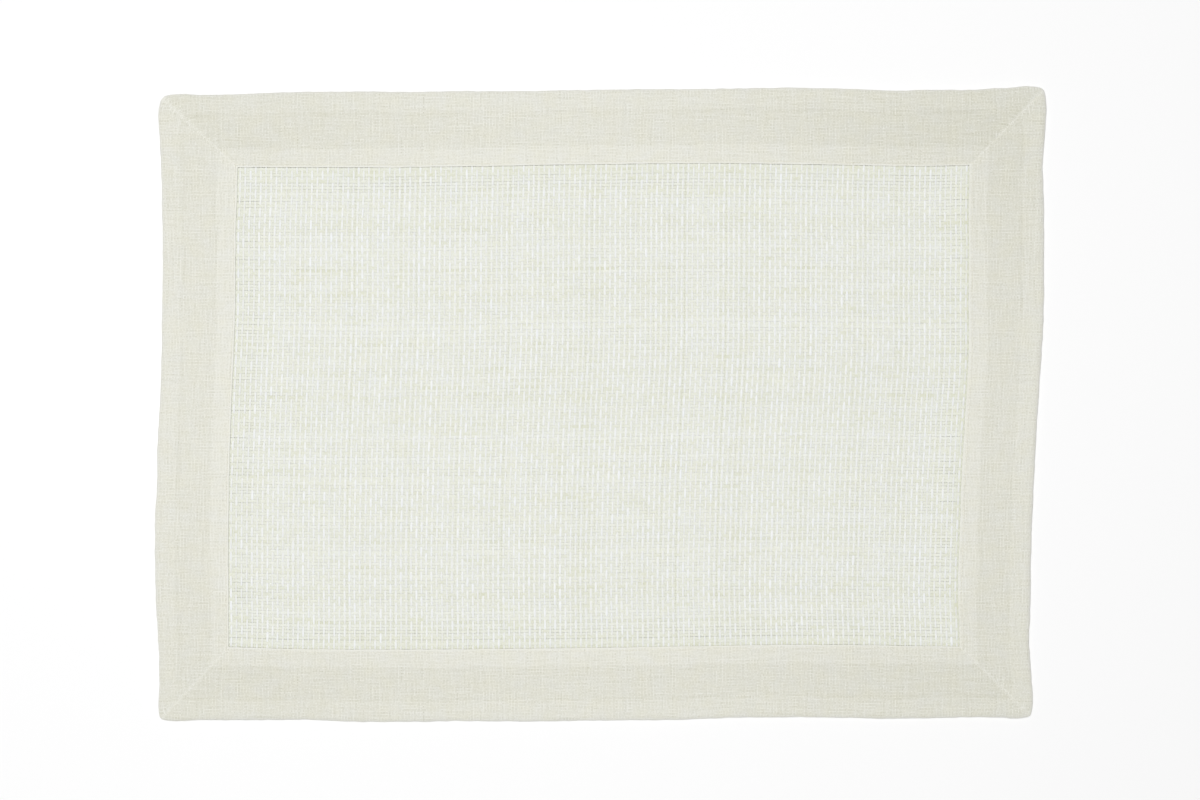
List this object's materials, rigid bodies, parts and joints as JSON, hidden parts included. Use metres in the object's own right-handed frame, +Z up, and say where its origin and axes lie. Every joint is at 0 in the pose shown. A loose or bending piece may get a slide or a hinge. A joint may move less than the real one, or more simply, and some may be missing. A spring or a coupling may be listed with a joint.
{
  "type": "fabric placemat",
  "caption": "Rectangular table mat: an open woven white centre panel with its edge held between the two layers of a wide folded linen border, mitred at the corners.",
  "frame": {"origin": "on the plane that the mat lies on, under the middle of the box round its outline", "axes": "+X along the mat's length, +Y towards its far long edge, +Z up out of its right side"},
  "size_m": [0.517, 0.3684, 0.0036],
  "materials": {
    "woven_centre": "open weave of thick white cotton floats over fine ivory linen yarn",
    "border_linen": "plain woven ivory linen, pressed flat, with fine slubs"
  },
  "bodies": {
    "root": {"centre_panel": "woven_centre", "border_far": "border_linen", "border_near": "border_linen", "border_left": "border_linen", "border_right": "border_linen"}
  },
  "joints": []
}
